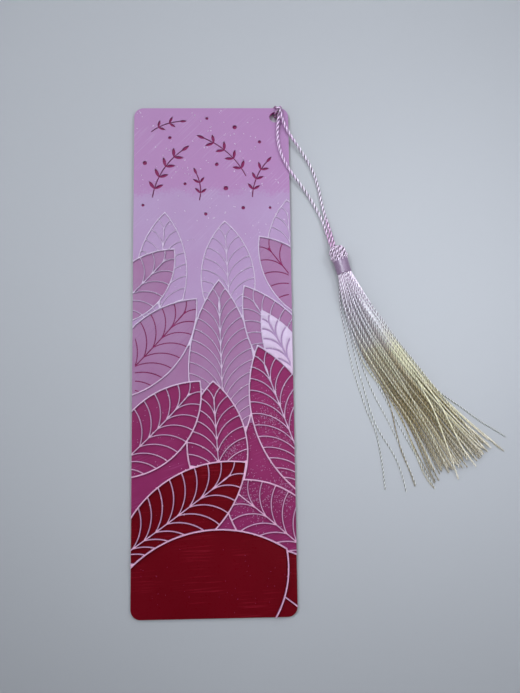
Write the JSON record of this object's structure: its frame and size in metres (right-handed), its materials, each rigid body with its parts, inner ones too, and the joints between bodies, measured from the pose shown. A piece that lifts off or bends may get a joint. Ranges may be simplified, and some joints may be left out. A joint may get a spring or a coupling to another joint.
{
  "type": "bookmark",
  "caption": "Flat bookmark card in stacked coloured plastic layers with raised leaf lines, a corner hole, and a hitched twisted cord loop that carries a thread tassel.",
  "frame": {"origin": "middle of the card's back face", "axes": "+Z out of the printed face, +Y along the card towards the hole end, +X towards the hole's long edge"},
  "size_m": [0.1148, 0.1609, 0.0049],
  "materials": {
    "dark_red_plastic": "satin printed plastic, dark red",
    "magenta_plastic": "satin printed plastic, magenta",
    "mauve_plastic": "satin printed plastic, mauve",
    "lilac_plastic": "satin printed plastic, lilac to pink",
    "pale_plastic": "satin printed plastic, pale lilac white",
    "cord": "twisted satin cord, pink lilac",
    "head_thread": "satin thread, lilac",
    "skirt_thread": "satin thread, lilac fading to champagne"
  },
  "bodies": {
    "card": {"base_layer": "dark_red_plastic", "magenta_layer": "magenta_plastic", "mauve_layer": "mauve_plastic", "lilac_layer": "lilac_plastic", "white_line_layer": "pale_plastic", "cord_bight": "cord"},
    "hitch": {"hitch_knot": "cord"},
    "cord_loop": {"cord_left_leg": "cord", "cord_right_leg": "cord"},
    "crown": {"thread_crown": "head_thread"},
    "tassel": {"head_wrap": "head_thread", "tassel_core": "head_thread", "tassel_skirt": "skirt_thread", "stray_threads": "skirt_thread"}
  },
  "joints": [
    {"name": "cord_swing", "type": "hinge", "parent": "card", "child": "hitch", "pos_m": [0.0219, 0.0791, 0.0031], "axis": [0, 0, 1], "range_deg": [0, 150]},
    {"name": "cord_lift", "type": "hinge", "parent": "hitch", "child": "cord_loop", "pos_m": [0.0219, 0.0791, 0.0031], "axis": [-0.937, -0.3494, 0], "range_deg": [0, 90]},
    {"name": "tassel_swing", "type": "hinge", "parent": "cord_loop", "child": "crown", "pos_m": [0.0399, 0.031, 0.00247], "axis": [0, 0, 1], "range_deg": [-15, 60]},
    {"name": "tassel_lift", "type": "hinge", "parent": "crown", "child": "tassel", "pos_m": [0.0399, 0.031, 0.00247], "axis": [-0.96, -0.28, 0], "range_deg": [0, 90]}
  ]
}
